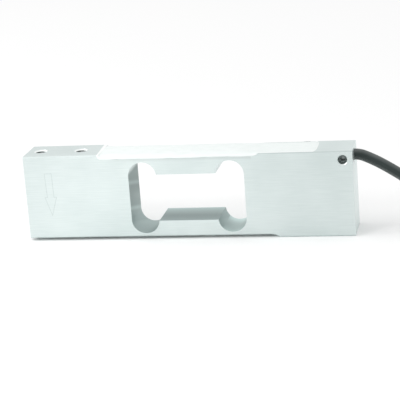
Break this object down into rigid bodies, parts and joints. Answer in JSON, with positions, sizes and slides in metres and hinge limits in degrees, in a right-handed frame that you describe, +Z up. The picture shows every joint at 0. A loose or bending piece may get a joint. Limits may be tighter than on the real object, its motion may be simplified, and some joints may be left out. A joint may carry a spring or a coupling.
{
  "type": "low profile load cell",
  "caption": "Bar-shaped single-point load cell with a lobed window, raised end pads with tapped holes, a white silicone seal over the gauges and a signal cable.",
  "frame": {"origin": "middle of the bar's footprint, at the level of the base pad", "axes": "+X along the bar from the load end to the cable end, +Y to the back, +Z up"},
  "size_m": [0.284, 0.0483, 0.04],
  "materials": {
    "bar": "fine milled, clear anodised",
    "sealant": "satin, cured silicone",
    "screw": "black oxide",
    "jacket": "matte",
    "film": "thin polyimide",
    "foil": "etched foil",
    "laminate": "glass laminate",
    "chip": "matte",
    "red": "satin",
    "black": "satin",
    "green": "satin",
    "white": "satin",
    "tinned": "tinned copper",
    "sleeve": "shrunk tube",
    "tie": "satin"
  },
  "bodies": {
    "root": {"spring_body": "bar", "silicone_seal": "sealant", "clamp_screw": "screw", "cable_in_bore": "jacket", "cable_lead": "jacket", "cable_coil": "jacket", "gauge_film_load": "film", "gauge_film_fixed": "film", "load_ribbon": "film", "fixed_ribbon": "film", "gauge_grids_load": "foil", "gauge_grids_fixed": "foil", "terminal_strip_load": "laminate", "terminal_strip_fixed": "laminate", "bridge_board": "laminate", "trim_resistors": "chip", "core_red": "red", "lead_red": "red", "core_black": "black", "lead_black": "black", "core_green": "green", "lead_green": "green", "core_white": "white", "lead_white": "white", "drain_wire": "tinned", "lead_drain": "tinned", "lead_tips": "tinned", "lead_sleeve": "sleeve", "coil_tie": "tie"}
  },
  "joints": []
}
